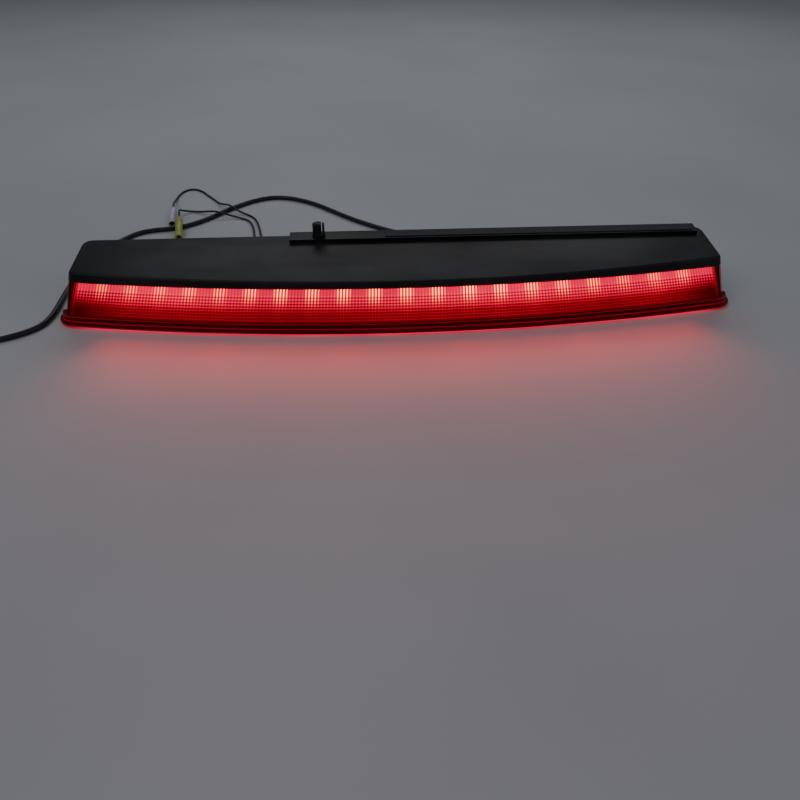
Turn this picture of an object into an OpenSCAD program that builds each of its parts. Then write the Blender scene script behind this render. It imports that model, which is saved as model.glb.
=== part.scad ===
// Curved third brake light with twenty LEDs, a pigtail with two sleeved terminals and a supply lead.
// +X runs along the lamp, -Y is the way the lens faces, +Z is up, and the lamp lies on its base.

/* [Body] */
// Length across the lens flange
body_len = 560; // [545:5:565]
// Depth from the middle of the flange to the rear wall
body_depth = 90; // [86:1:96]
// Height of the top's front edge
front_h = 40.5; // [39:0.5:43]
// Height of the top's rear edge, below the ridge
rear_h = 48; // [46:0.5:52]
// Radius of the curved front wall at the base
front_r = 1400; // [1250:10:1700]
// How far the front leans in, per mm of height
lean = 0.145; // [0.1:0.005:0.16]
// How far the ends lean in, per mm of height
end_lean = 0.31; // [0.28:0.01:0.33]
// Wall thickness of the housing and the lens
wall = 2.5; // [2:0.1:3]
// Radius of the front corners in plan
front_corner_r = 11; // [9:0.5:14]
// Radius of the rear corners in plan
rear_corner_r = 14; // [12:0.5:18]
// Rounding of the housing's top edge
top_edge_r = 2.2; // [1:0.1:2.4]

/* [Lens] */
// Width of the flange before the wall
flange_w = 7; // [6:0.5:8]
// Width of the flange beyond the ends
flange_end_w = 3.5; // [3:0.5:4]
// Height of the flange
flange_h = 3; // [2:0.5:4]
// Width of the step above the flange
step_w = 1.2; // [0.8:0.1:2]
// Height of the top of the step
step_top = 7.5; // [6.5:0.5:8]
// Height of the lens's upper edge
lens_top = 35; // [34:0.5:36]
// Half length of the optic's upper edge
window_half = 256; // [252:1:257]
// Gap filled by the seal between the lens and the housing
seal_gap = 1; // [0.8:0.1:1.4]

/* [Lights] */
// Distance between LEDs along the curve
led_pitch = 24.5; // [23:0.5:24.5]
// LEDs on each board
leds_per_board = 5; // [5:1:5]
// Number of boards
board_count = 4; // [4:1:4]
// Height of the LED row
led_z = 30; // [29:0.5:31]
// Height of a board
board_h = 15; // [14:0.5:16]
// Thickness of a board
board_t = 1.6; // [1:0.1:2]

/* [Fixings] */
// Radius of the mounting studs
stud_r = 2.5; // [2:0.5:3]
// Free length of the mounting studs
stud_len = 14; // [10:1:18]
// Distance of each stud from the middle
stud_x = 200; // [195:1:205]
// Radius of the locating peg
peg_r = 5; // [4:0.5:5.5]
// Height of the peg above the ridge
peg_len = 11.5; // [9:0.5:12.5]

/* [Wiring] */
// Diameter of the pigtail wires
wire_d = 2; // [1.8:0.1:2.2]
// Diameter of the supply lead
lead_d = 4.4; // [4:0.1:4.8]
// Outer diameter of a terminal sleeve
sleeve_d = 7.6; // [7:0.1:8]
// Length of a terminal sleeve
sleeve_len = 38; // [34:0.5:40]

/* [Hidden] */
$fn = 48;

// Body outline
half_len = body_len / 2 - flange_end_w;
front_y = flange_w - body_depth / 2;
rear_y = body_depth / 2;
axis_y = front_y + front_r;
top_front_y = front_y + lean * front_h;
top_slope = (rear_h - front_h) / (rear_y - top_front_y);
top_tilt = atan(top_slope);
front_steps = 32;
corner_steps = 5;
split_y = 0;
step_in = wall + 0.4;
big = 300;

// Ridge along the rear of the top
ridge_x0 = -92;
ridge_x1 = 256;
ridge_y0 = 31;
ridge_y1 = 44.2;
ridge_h = 3;
strip_x0 = -12;
strip_t = 0.8;

// Base plate and its screws
base_t = 2.5;
base_inset = 4.2;
gasket_in = 4.15;
gasket_out = wall + 0.6;
end_extra = 0.7;
pillar_r = 3.5;
screw_r = 1.5;
screw_head_r = 3;
screw_head_h = 1.6;
screw_spots = [[-236, 33], [-60, 33], [60, 33], [236, 33], [-255.5, 4], [255.5, 4]];

// Studs, peg and vent on the rear and the ridge
stud_z = 22;
stud_shoulder_r = stud_r + 0.5;
stud_boss_r = 8;
stud_boss_len = 5;
stud_head_r = 4.6;
stud_head_h = 3.5;
washer_r = 7;
washer_t = 2;
peg_pos = [-67.5, 37.5];
peg_collar_r = peg_r + 0.6;
peg_collar_h = 1.2;
peg_slot_x = 2.2;
vent_pos = [30, 24];
vent_neck_r = 4;
vent_cap_r = 6;

// Optic, reflector and boards, as distances behind the front wall's outer face at the base
optic_gap = 1;
optic_t = 2;
optic_z0 = 3.4;
optic_z1 = 35.5;
optic_flare = 0.34;
reflector_y = 16;
reflector_t = 1.5;
reflector_fold_z = 22;
reflector_z0 = 2.7;
reflector_z1 = 36.5;
foot_w = 26;
reflector_screw_x = [-210, -70, 70, 210];
board_y = 22.6;
board_z0 = 21.5;
board_pitch = led_pitch * leds_per_board;
board_len = board_pitch - 2.5;
board_front_r = front_r - board_y;
board_turn = board_pitch / board_front_r * 180 / PI;
link_y = board_front_r * (1 - 1 / cos(board_turn / 2));
led_size = 7.6;
led_body_t = 3.6;
led_dome_r = 2.5;
led_dome_len = 2;
resistor_x = [-led_pitch / 2, led_pitch / 2];
link_z = [board_z0 + 3, board_z0 + 10];
post_r = 3;
post_z = board_z0 + 2.9;
post_x = 36.75;
board_screw_r = 1.3;

// Pigtail: a sleeved terminal lies at the end of each wire
grommet_pos = [-122, 20];
grommet_r = 6.2;
grommet_lip_r = 8;
grommet_out = rear_y + 3;
grommet_in = rear_y - wall - 2;
wire_gap = 5;
// Each sleeve's open tip, and its aim: the heading off +Y towards +X, and the rise
sleeve_a_tip = [-223, 179, 4];
sleeve_b_tip = [-210.3, 144.6, 3.9];
sleeve_a_aim = [-8, 3];
sleeve_b_aim = [-8, 8.3];
sleeve_bore_r = wire_d / 2 + 0.25;
terminal_r = 2.4;
terminal_len = 24;
terminal_neck_r = 1.6;
terminal_z0 = 2.5;

// Routes by hand: each list runs from the lamp to the cord's far end
wire_a_mid = [
    [-119.5, 54, 19], [-120, 64, 14], [-121.5, 76, 7], [-123, 90, 2.5], [-124.5, 106, 1.2],
    [-127, 124, 1.2], [-129.5, 142, 1.2], [-132, 158, 1.2], [-135, 174, 1.2], [-139, 190, 1.2],
    [-145, 202, 1.2], [-153, 209, 1.8], [-161, 214, 3.8], [-169, 221, 6.2], [-177, 230, 4.4],
    [-183, 239, 2], [-190, 251, 1.2], [-200, 266, 1.2], [-209, 279, 1.2], [-219, 285, 1.2],
    [-227, 280, 1.2], [-231, 268, 1.2], [-232, 252, 2], [-231, 239, 4.6]
];
wire_b_mid = [
    [-124.5, 54, 19], [-125, 64, 14], [-126.5, 76, 7], [-128.5, 90, 2.5], [-131, 106, 1.2],
    [-134, 124, 1.2], [-136.5, 142, 1.2], [-138.5, 159, 1.2], [-142, 178, 1.2], [-148, 192, 1.2],
    [-158, 199, 1.6], [-167, 201, 3.4], [-175, 202, 5.6], [-182, 205, 6.2], [-190, 210, 4.6],
    [-198, 215, 2.4], [-206, 218, 1.5], [-213, 218, 2.2], [-218, 213, 5], [-219, 204, 9]
];
lead_route = [
    [82, 66, 14], [81, 76, 11.5], [76, 88, 6.5], [66, 100, 3], [52, 113, 2.3], [37, 126, 2.3],
    [20, 139, 2.3], [2, 152, 2.3], [-15, 165, 2.3], [-31, 179, 2.3], [-47, 195, 2.3], [-62, 212, 2.3],
    [-77, 228, 2.3], [-93, 241, 2.3], [-111, 250, 2.3], [-129, 251, 2.3], [-146, 243, 2.3],
    [-161, 230, 2.3], [-174, 216, 2.3], [-185, 201, 2.3], [-197, 188, 2.3], [-210, 178, 2.3],
    [-224, 172, 2.3], [-239, 169, 2.3], [-252, 163, 2.3], [-263, 150, 2.3], [-272, 133, 2.3],
    [-279, 114, 2.3], [-284, 94, 2.3], [-287, 73, 2.3], [-288, 52, 2.3], [-288, 30, 2.3],
    [-287.5, 10, 2.3], [-288.5, -7, 2.3], [-292, -18, 2.3], [-299.5, -26.5, 2.3], [-310, -33.5, 2.3],
    [-323, -39.5, 2.5], [-336, -46, 3.8], [-348, -51, 5.2]
];
plug_turn = 203;
plug_len = 30;
plug_w = 13;
plug_h = 10;
plug_neck_len = 7;
plug_neck_w = 7.2;
plug_key_x = [14, 24];
plug_key_w = 3;
plug_socket_depth = 9;
pin_r = 0.9;
pin_len = 7;
pin_pitch = 5.6;
hex_r = 1.3;
relief_r = 5.6;
relief_tip_r = 3.2;
relief_pos = [82, 14];
relief_end = lead_route[0][1];

// Direction from a sleeve's tip to its wire, and a point beyond its wire end
function aim_dir(aim) = [cos(aim[1]) * sin(aim[0]), cos(aim[1]) * cos(aim[0]), sin(aim[1])];
function sleeve_back(tip, aim, extra) = tip + (sleeve_len + extra) * aim_dir(aim);

// Points of an arc in plan, from angle a0 to a1
function arc(c, r, a0, a1, n) = [for (i = [0:n]) let(a = a0 + (a1 - a0) * i / n) c + r * [cos(a), sin(a)]];

// Plan outline with a curved front, drawn in from the base outline on the front, the rear and the ends
function outline(d, rear_in, end_in) = let(
    r = front_r - d,
    hl = half_len - end_in,
    yr = rear_y - rear_in,
    rf = max(front_corner_r - d, 2),
    rr = max(rear_corner_r - max(d, rear_in), 2),
    xf = hl - rf,
    yf = axis_y - sqrt((r - rf) * (r - rf) - xf * xf),
    af = atan2(yf - axis_y, xf)
) concat(
    arc([xf, yf], rf, af, 0, corner_steps),
    arc([hl - rr, yr - rr], rr, 0, 90, corner_steps),
    arc([rr - hl, yr - rr], rr, 90, 180, corner_steps),
    arc([-xf, yf], rf, 180, 180 - af, corner_steps),
    [for (i = [1:front_steps - 1]) let(a = 180 - af + (180 + 2 * af) * i / front_steps)
        [0, axis_y] + r * [cos(a), sin(a)]]
);

// Height of the sloping top at depth y, lowered by drop
function top_z(y, drop) = front_h + (y - top_front_y) * top_slope - drop;
function flat_ring(d, rear_in, z) = [for (p = outline(d, rear_in, d)) [p[0], p[1], z]];
function top_ring(d, rear_in, drop) = [
    for (p = outline(lean * front_h + d, rear_in, end_lean * front_h + d)) [p[0], p[1], top_z(p[1], drop)]
];

// Solid through a stack of rings with equal numbers of points, each counter-clockwise from its far end
module loft(rings) {
    n = len(rings[0]);
    top = len(rings) - 1;
    sides = [for (j = [0:top - 1], i = [0:n - 1]) let(k = (i + 1) % n) each [
        [j * n + i, (j + 1) * n + i, (j + 1) * n + k],
        [j * n + i, (j + 1) * n + k, j * n + k]
    ]];
    caps = [[for (i = [0:n - 1]) i], [for (i = [0:n - 1]) top * n + n - 1 - i]];
    polyhedron(points = [for (r = rings) each r], faces = concat(caps, sides), convexity = 6);
}

// The body's outer surface, with a rounded top edge, and its cavity
module body_outer() {
    edge = [for (t = [22.5:22.5:90]) top_edge_r * [1 - cos(t), 1 - sin(t)]];
    loft(concat(
        [flat_ring(0, 0, 0), top_ring(0, 0, top_edge_r)],
        [for (e = edge) top_ring(e[0], e[0], e[1])]
    ));
}

module body_inner() {
    loft([flat_ring(wall, wall, -1), top_ring(wall, wall, wall)]);
}

module body_shell() {
    difference() {
        body_outer();
        body_inner();
    }
}

// Box from corner to corner
module box(a, b) {
    translate(a) cube(b - a);
}

// Everything in front of the split and below the lens's upper edge, drawn in by gap
module lens_zone(gap) {
    box([-big, -big, -1], [big, split_y - gap, lens_top + seal_gap / 2 - gap]);
}

// Ring of constant outline, from out = [front, ends] to the inset in
module rim(out, in, z0, z1) {
    translate([0, 0, z0]) linear_extrude(z1 - z0) difference() {
        polygon(outline(out[0], 0, out[1]));
        polygon(outline(in, wall, in));
    }
}

// Places children on the boards' arc, a degrees round from the middle, with y along the radius
module on_arc(a) {
    translate([0, axis_y, 0]) rotate([0, 0, a]) translate([0, -board_front_r, 0]) children();
}

// Turns a profile of [distance behind the base front, height] about the front's axis
module arc_sweep(half_x, profile) {
    half_a = asin(half_x / front_r);
    translate([0, axis_y, 0]) rotate([0, 0, -90 - half_a]) rotate_extrude(angle = 2 * half_a, $fn = 720)
        polygon([for (p = profile) [front_r - p[0], p[1]]]);
}

// Round tube through a list of points, with a ring at each one
module tube(points, d, sides) {
    last = len(points) - 1;
    dirs = [for (i = [0:last]) let(v = points[min(i + 1, last)] - points[max(i - 1, 0)]) v / norm(v)];
    rings = [for (i = [0:last]) let(
        side = cross(dirs[i], [0, 0, 1]),
        u = norm(side) < 0.15 ? [0, 1, 0] : side / norm(side),
        v = cross(u, dirs[i])
    ) [for (k = [0:sides - 1]) let(a = 360 * k / sides) points[i] + d / 2 * (u * cos(a) - v * sin(a))]];
    loft(rings);
}

// Cylinder that points along +Y from y0 to y1
module y_rod(x, z, y0, y1, r) {
    translate([x, y0, z]) rotate([-90, 0, 0]) cylinder(h = y1 - y0, r = r);
}

// Housing and base
module housing() {
    color([0.03, 0.03, 0.035]) difference() {
        union() {
            difference() {
                body_shell();
                lens_zone(-seal_gap / 2);
            }
            ridge();
            for (p = screw_spots) intersection() {
                translate([p[0], p[1], base_t]) cylinder(h = rear_h, r = pillar_r);
                body_outer();
            }
            for (s = [-1, 1]) {
                y_rod(s * stud_x, stud_z, rear_y - wall - stud_boss_len, rear_y - wall / 2, stud_boss_r);
            }
        }
        for (p = screw_spots) translate([p[0], p[1], -1]) cylinder(h = 13.5, r = screw_r);
        for (s = [-1, 1]) rear_hole([s * stud_x, stud_z], stud_shoulder_r);
        rear_hole(grommet_pos, grommet_r);
        rear_hole(relief_pos, relief_r);
        rear_hole(vent_pos, vent_neck_r);
        translate([peg_pos[0], peg_pos[1], 30]) cylinder(h = 40, r = peg_r / 2);
    }
}

// Round hole through the rear wall
module rear_hole(pos, r) {
    y_rod(pos[0], pos[1], rear_y - 13, rear_y + 1, r);
}

// Raised ridge along the rear of the top, standing square to the sloping top
module ridge() {
    on_top() box([ridge_x0, ridge_y0, -1], [ridge_x1, ridge_y1, ridge_h]);
}

module ridge_strip() {
    color([0.09, 0.09, 0.1]) on_top() {
        box([strip_x0, ridge_y0 + 2, ridge_h], [ridge_x1 - 4, ridge_y1 - 1.2, ridge_h + strip_t]);
    }
}

// Places children on the sloping top, with z square to it
module on_top() {
    translate([0, 0, front_h - top_front_y * top_slope]) rotate([top_tilt, 0, 0]) children();
}

module base_plate() {
    color([0.04, 0.04, 0.045]) difference() {
        linear_extrude(base_t) polygon(outline(base_inset, base_inset, base_inset + end_extra));
        for (p = screw_spots) translate([p[0], p[1], -1]) cylinder(h = 5, r = screw_r + 0.1);
        for (p = screw_spots) translate([p[0], p[1], -1]) {
            cylinder(h = 1 + screw_head_h, r = screw_head_r + 0.2);
        }
    }
}

module base_gasket() {
    color([0.08, 0.08, 0.08]) translate([0, 0, 0.3]) linear_extrude(base_t - 0.5) difference() {
        polygon(outline(gasket_out, gasket_out, gasket_out + end_extra));
        polygon(outline(gasket_in, gasket_in, gasket_in + end_extra));
    }
}

module base_screws() {
    color("silver") for (p = screw_spots) translate([p[0], p[1], 0.2]) difference() {
        union() {
            cylinder(h = screw_head_h - 0.2, r = screw_head_r);
            cylinder(h = 12, r = screw_r);
        }
        translate([0, 0, -0.1]) cylinder(h = 1, r = hex_r, $fn = 6);
    }
}

// Lens, seal and optic
module outer_lens() {
    color([0.7, 0.02, 0.03, 0.6]) union() {
        intersection() {
            body_shell();
            lens_zone(seal_gap / 2);
        }
        intersection() {
            union() {
                rim([-flange_w, -flange_end_w], wall, 0, flange_h);
                rim([-step_w, -step_w], step_in, flange_h - 0.1, step_top);
            }
            lens_zone(seal_gap / 2);
        }
    }
}

module lens_seal() {
    color([0.02, 0.02, 0.02]) intersection() {
        difference() {
            loft([flat_ring(0.5, 0.5, 0), top_ring(0.5, 0.5, wall)]);
            body_inner();
        }
        difference() {
            box([-big, -big, 0], [big, split_y + seal_gap / 2, lens_top + seal_gap]);
            lens_zone(seal_gap / 2);
        }
    }
}

module inner_optic() {
    back = wall + optic_gap;
    low_half = window_half + optic_flare * (optic_z1 - optic_z0);
    color([0.95, 0.3, 0.3, 0.6]) intersection() {
        arc_sweep(low_half + 1, [
            [back + lean * optic_z0, optic_z0],
            [back + lean * optic_z1, optic_z1],
            [back + optic_t + lean * optic_z1, optic_z1],
            [back + optic_t + lean * optic_z0, optic_z0]
        ]);
        rotate([90, 0, 0]) linear_extrude(2 * big, center = true) polygon([
            [-low_half, optic_z0], [low_half, optic_z0], [window_half, optic_z1], [-window_half, optic_z1]
        ]);
    }
}

// Reflector, boards and lights
module reflector() {
    slant_y = wall + optic_gap + optic_t + 2;
    color([0.85, 0.85, 0.87]) difference() {
        union() {
            arc_sweep(board_pitch * board_count / 2 + 6, [
                [reflector_y, reflector_z1],
                [reflector_y, reflector_fold_z],
                [slant_y, reflector_z0 + reflector_t],
                [slant_y, reflector_z0],
                [slant_y + foot_w, reflector_z0],
                [slant_y + foot_w, reflector_z0 + reflector_t],
                [slant_y + 2, reflector_z0 + reflector_t],
                [reflector_y + reflector_t, reflector_fold_z],
                [reflector_y + reflector_t, reflector_z1]
            ]);
            for (b = [0:board_count - 1], s = [-1, 1]) on_arc(board_angle(b)) {
                y_rod(s * post_x, post_z, -(board_y - reflector_y - reflector_t / 2), 0, post_r);
            }
        }
        for (b = [0:board_count - 1], s = [-1, 1]) on_arc(board_angle(b)) {
            y_rod(s * post_x, post_z, -5, 1, board_screw_r);
        }
        for (b = [0:board_count - 1]) on_arc(board_angle(b)) for (i = [0:leds_per_board - 1]) {
            y_rod(led_x(i), led_z, -9, -3, led_dome_r + 0.4);
        }
        for (x = reflector_screw_x) translate([x, foot_screw_y(x), 0]) cylinder(h = 6, r = screw_r + 0.1);
    }
}

function foot_screw_y(x) = axis_y - sqrt((front_r - 27) * (front_r - 27) - x * x);
function board_angle(b) = (b - (board_count - 1) / 2) * board_turn;
function led_x(i) = (i - (leds_per_board - 1) / 2) * led_pitch;

module reflector_screws() {
    color("silver") for (x = reflector_screw_x) translate([x, foot_screw_y(x), 0]) difference() {
        union() {
            translate([0, 0, base_t]) cylinder(h = reflector_z0 + reflector_t - base_t, r = screw_r);
            translate([0, 0, reflector_z0 + reflector_t]) cylinder(h = 1.6, r = screw_head_r);
        }
        translate([0, 0, reflector_z0 + reflector_t + 0.8]) cylinder(h = 1, r = hex_r, $fn = 6);
    }
}

module led_board(b) {
    color([0.9, 0.9, 0.88]) on_arc(board_angle(b)) difference() {
        box([-board_len / 2, 0, board_z0], [board_len / 2, board_t, board_z0 + board_h]);
        for (s = [-1, 1]) y_rod(s * post_x, post_z, -1, 3, board_screw_r);
    }
}

module leds(b) {
    color([1, 0.9, 0.7]) on_arc(board_angle(b)) for (i = [0:leds_per_board - 1]) {
        translate([led_x(i), 0, led_z]) union() {
            translate([-led_size / 2, -led_body_t, -led_size / 2]) cube([led_size, led_body_t, led_size]);
            y_rod(0, 0, -led_body_t - led_dome_len, -led_body_t + 0.5, led_dome_r);
            translate([0, -led_body_t - led_dome_len, 0]) sphere(r = led_dome_r);
        }
    }
}

module resistors(b) {
    color([0.1, 0.1, 0.12]) on_arc(board_angle(b)) for (x = resistor_x, z = [board_z0 + 4, led_z + 1]) {
        translate([x - 1.6, board_t, z]) cube([3.2, 0.7, 1.6]);
    }
}

// Jumpers that bridge the gaps between neighbouring boards, on their back faces
module board_links() {
    color([0.75, 0.55, 0.2]) for (b = [0:board_count - 2]) union() {
        for (z = link_z) union() {
            on_arc(board_angle(b)) link_foot(board_len / 2 - 2.5, z);
            on_arc(board_angle(b + 1)) link_foot(2.5 - board_len / 2, z);
            on_arc(board_angle(b + 0.5)) translate([0, link_y, 0]) {
                box([-4.5, board_t + 0.5, z], [4.5, board_t + 1.3, z + 1.5]);
            }
        }
    }
}

module link_foot(x, z) {
    box([x - 1.5, board_t, z], [x + 1.5, board_t + 1, z + 1.5]);
}

module board_screws() {
    color("silver") for (b = [0:board_count - 1], s = [-1, 1]) on_arc(board_angle(b)) difference() {
        union() {
            y_rod(s * post_x, post_z, -4.5, board_t, board_screw_r);
            y_rod(s * post_x, post_z, board_t, board_t + 1.5, 2.4);
        }
        y_rod(s * post_x, post_z, board_t + 0.8, board_t + 2, 1);
    }
}

// Fixings
module locating_peg() {
    top = top_z(peg_pos[1], 0) + ridge_h / cos(top_tilt);
    color([0.05, 0.05, 0.055]) translate([peg_pos[0], peg_pos[1], 0]) difference() {
        union() {
            translate([0, 0, top - 0.8]) cylinder(h = peg_len - peg_r / 2 + 0.8, r = peg_r);
            translate([0, 0, top + peg_len - peg_r / 2]) rotate_extrude() intersection() {
                translate([0, -peg_r * 1.5]) circle(r = peg_r * 2);
                square([peg_r, peg_r / 2]);
            }
            translate([0, 0, top - 0.8]) cylinder(h = peg_collar_h + 0.8, r = peg_collar_r);
            translate([0, 0, top - 9]) cylinder(h = 9, r = peg_r / 2);
        }
        translate([peg_slot_x, -peg_r - 1, top + peg_collar_h]) cube([1, 2 * peg_r + 2, peg_len]);
        peg_seat(top);
    }
}

// Clears the peg's shoulder so that it stands on the sloping ridge
module peg_seat(top) {
    translate([0, 0, top]) rotate([top_tilt, 0, 0]) difference() {
        translate([0, 0, -3]) cylinder(h = 3, r = 9);
        translate([0, 0, -4]) cylinder(h = 5, r = peg_r / 2 + 0.01);
    }
}

// Stud with a hex head inside the housing and a shoulder that ends flush with its washer
module stud(s) {
    seat_y = rear_y - wall - stud_boss_len;
    color("silver") union() {
        y_rod(s * stud_x, stud_z, seat_y, rear_y + washer_t, stud_shoulder_r);
        y_rod(s * stud_x, stud_z, rear_y, rear_y + stud_len, stud_r);
        y_rod(s * stud_x, stud_z, seat_y - stud_head_h, seat_y, stud_head_r, $fn = 6);
    }
}

module stud_washers() {
    color([0.04, 0.04, 0.04]) for (s = [-1, 1]) difference() {
        y_rod(s * stud_x, stud_z, rear_y, rear_y + washer_t, washer_r);
        y_rod(s * stud_x, stud_z, rear_y - 1, rear_y + washer_t + 1, stud_shoulder_r + 0.1);
    }
}

module vent_plug() {
    color([0.06, 0.06, 0.07]) difference() {
        union() {
            y_rod(vent_pos[0], vent_pos[1], rear_y - wall - 1.5, rear_y, vent_neck_r);
            y_rod(vent_pos[0], vent_pos[1], rear_y, rear_y + 2.2, vent_cap_r);
        }
        for (a = [0:60:300]) translate([vent_pos[0] + 3.4 * cos(a), 0, vent_pos[1] + 3.4 * sin(a)]) {
            y_rod(0, 0, rear_y + 1.2, rear_y + 3, 0.6);
        }
    }
}

module wire_grommet() {
    color([0.03, 0.03, 0.03]) union() {
        y_rod(grommet_pos[0], grommet_pos[1], grommet_in, grommet_out, grommet_r);
        y_rod(grommet_pos[0], grommet_pos[1], rear_y, rear_y + 1.8, grommet_lip_r);
        y_rod(grommet_pos[0], grommet_pos[1], grommet_in, rear_y - wall, grommet_lip_r);
    }
}

// Wiring
module inner_wires() {
    z = board_z0 + 8;
    color([0.12, 0.12, 0.14]) {
        for (s = [-1, 1]) tube([
            [grommet_pos[0] + s * wire_gap / 2, grommet_in, grommet_pos[1]],
            [grommet_pos[0] + s * wire_gap / 2, grommet_in - 8, grommet_pos[1]],
            [grommet_pos[0] + 4 + s * wire_gap / 2, grommet_in - 22, grommet_pos[1] - 2],
            [grommet_pos[0] + 12 + s * wire_gap / 2, grommet_in - 42, z + 1],
            [grommet_pos[0] + 14 + s * wire_gap / 2, -10, z]
        ], wire_d, 8);
        for (s = [-1, 1]) tube([
            [relief_pos[0] + s * wire_gap / 2, rear_y - wall - 2, relief_pos[1]],
            [relief_pos[0] + s * wire_gap / 2, rear_y - wall - 10, relief_pos[1] + 1],
            [relief_pos[0] - 5 + s * wire_gap / 2, rear_y - wall - 24, relief_pos[1] + 8],
            [relief_pos[0] - 8 + s * wire_gap / 2, rear_y - wall - 44, z - 1],
            [relief_pos[0] - 9 + s * wire_gap / 2, -11.5, z]
        ], wire_d, 8);
    }
}

module wire_a() {
    color([0.05, 0.07, 0.16]) tube(concat(
        [[grommet_pos[0] + wire_gap / 2, grommet_out, grommet_pos[1]]],
        wire_a_mid,
        [sleeve_back(sleeve_a_tip, sleeve_a_aim, 11), sleeve_back(sleeve_a_tip, sleeve_a_aim, 1)],
        [wire_end(sleeve_a_tip, sleeve_a_aim)]
    ), wire_d, 8);
}

module wire_b() {
    color([0.05, 0.07, 0.16]) tube(concat(
        [[grommet_pos[0] - wire_gap / 2, grommet_out, grommet_pos[1]]],
        wire_b_mid,
        [sleeve_back(sleeve_b_tip, sleeve_b_aim, 11), sleeve_back(sleeve_b_tip, sleeve_b_aim, 1)],
        [wire_end(sleeve_b_tip, sleeve_b_aim)]
    ), wire_d, 8);
}

// A wire ends on the back of its terminal's neck, inside the sleeve
function wire_end(tip, aim) = tip + (terminal_z0 + terminal_len) * aim_dir(aim);

module at_sleeve(tip, aim) {
    translate(tip) rotate([aim[1] - 90, 0, -aim[0]]) children();
}

module terminal(tip, aim) {
    color([0.78, 0.6, 0.25]) at_sleeve(tip, aim) difference() {
        union() {
            translate([0, 0, terminal_z0]) cylinder(h = 9, r = terminal_r);
            translate([0, 0, terminal_z0 + 8]) cylinder(h = terminal_len - 8, r = terminal_neck_r);
        }
        translate([0, 0, terminal_z0 - 1]) cylinder(h = 9, r = 1.6);
        translate([-0.4, 0, terminal_z0 - 1]) cube([0.8, 4, 8]);
    }
}

// Soft insulating sleeve, open at the tip and closed in round the wire at the back
module sleeve(tip, aim, tint) {
    color(tint) at_sleeve(tip, aim) difference() {
        union() {
            cylinder(h = sleeve_len - 4, r = sleeve_d / 2);
            translate([0, 0, sleeve_len - 4]) cylinder(h = 4, r1 = sleeve_d / 2, r2 = sleeve_d / 2 - 1.5);
        }
        translate([0, 0, -1]) cylinder(h = sleeve_len - 3, r = terminal_r + 0.3);
        translate([0, 0, -1]) cylinder(h = sleeve_len + 2, r = sleeve_bore_r);
    }
}

// Ribbed strain relief for the supply lead, turned from [radius, distance behind the rear wall]
module lead_relief() {
    color([0.03, 0.03, 0.03]) y_turned([
        [0, -wall - 2], [relief_r + 1.6, -wall - 2], [relief_r + 1.6, -wall], [relief_r, -wall],
        [relief_r, 0], [relief_r + 2, 0], [relief_r + 2, 2], [4.6, 3], [4.6, 5.5], [3.6, 5.5], [3.6, 7],
        [4.3, 7], [4.3, 9.5], [3.4, 9.5], [3.4, 11], [4, 11], [4, 13.5], [3.3, 13.5], [3.3, 15],
        [3.7, 15], [3.7, 17.5], [relief_tip_r, 17.5], [relief_tip_r, relief_end - rear_y],
        [0, relief_end - rear_y]
    ]);
}

// Solid of revolution about the relief's axis
module y_turned(profile) {
    translate([relief_pos[0], rear_y, relief_pos[1]]) rotate([-90, 0, 0]) rotate_extrude() polygon(profile);
}

module supply_lead() {
    color([0.03, 0.035, 0.03]) tube(lead_route, lead_d, 10);
}

// Plug at the lead's far end, turned to follow it
module at_plug() {
    translate(lead_route[len(lead_route) - 1]) rotate([0, 0, plug_turn]) children();
}

module lead_plug() {
    color([0.04, 0.04, 0.045]) at_plug() difference() {
        union() {
            box([0, -plug_neck_w / 2, -plug_neck_w / 2], [plug_neck_len, plug_neck_w / 2, plug_neck_w / 2]);
            box([plug_neck_len - 1, -plug_w / 2, -plug_h / 2], [plug_len, plug_w / 2, plug_h / 2]);
            box([plug_key_x[0], -plug_key_w / 2, plug_h / 2 - 0.5],
                [plug_key_x[1], plug_key_w / 2, plug_h / 2 + 1.5]);
        }
        box([plug_len - plug_socket_depth, 1 - plug_w / 2, 1.5 - plug_h / 2],
            [plug_len + 1, plug_w / 2 - 1, plug_h / 2 - 1.5]);
    }
}

module plug_pins() {
    color([0.78, 0.6, 0.25]) at_plug() for (s = [-1, 1]) {
        translate([plug_len - plug_socket_depth, s * pin_pitch / 2, 0]) rotate([0, 90, 0]) {
            cylinder(h = pin_len, r = pin_r);
        }
    }
}

housing();
base_plate();
base_gasket();
base_screws();
outer_lens();
lens_seal();
inner_optic();
reflector();
reflector_screws();
led_board(0);  // led_board_1
led_board(1);  // led_board_2
led_board(2);  // led_board_3
led_board(3);  // led_board_4
leds(0);  // leds_1
leds(1);  // leds_2
leds(2);  // leds_3
leds(3);  // leds_4
resistors(0);  // resistors_1
resistors(1);  // resistors_2
resistors(2);  // resistors_3
resistors(3);  // resistors_4
board_links();
board_screws();
ridge_strip();
locating_peg();
stud(-1);  // stud_left
stud(1);  // stud_right
stud_washers();
vent_plug();
wire_grommet();
inner_wires();
wire_a();
wire_b();
terminal(sleeve_a_tip, sleeve_a_aim);  // terminal_a
terminal(sleeve_b_tip, sleeve_b_aim);  // terminal_b
sleeve(sleeve_a_tip, sleeve_a_aim, [0.85, 0.82, 0.88]);  // sleeve_a
sleeve(sleeve_b_tip, sleeve_b_aim, [0.62, 0.68, 0.15]);  // sleeve_b
lead_relief();
supply_lead();
lead_plug();
plug_pins();
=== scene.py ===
"""Looks of the third brake light: camera, cords, lens and optic, materials, small parts, light and floor."""
import math

import bmesh
import bpy
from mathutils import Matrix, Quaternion, Vector


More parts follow.
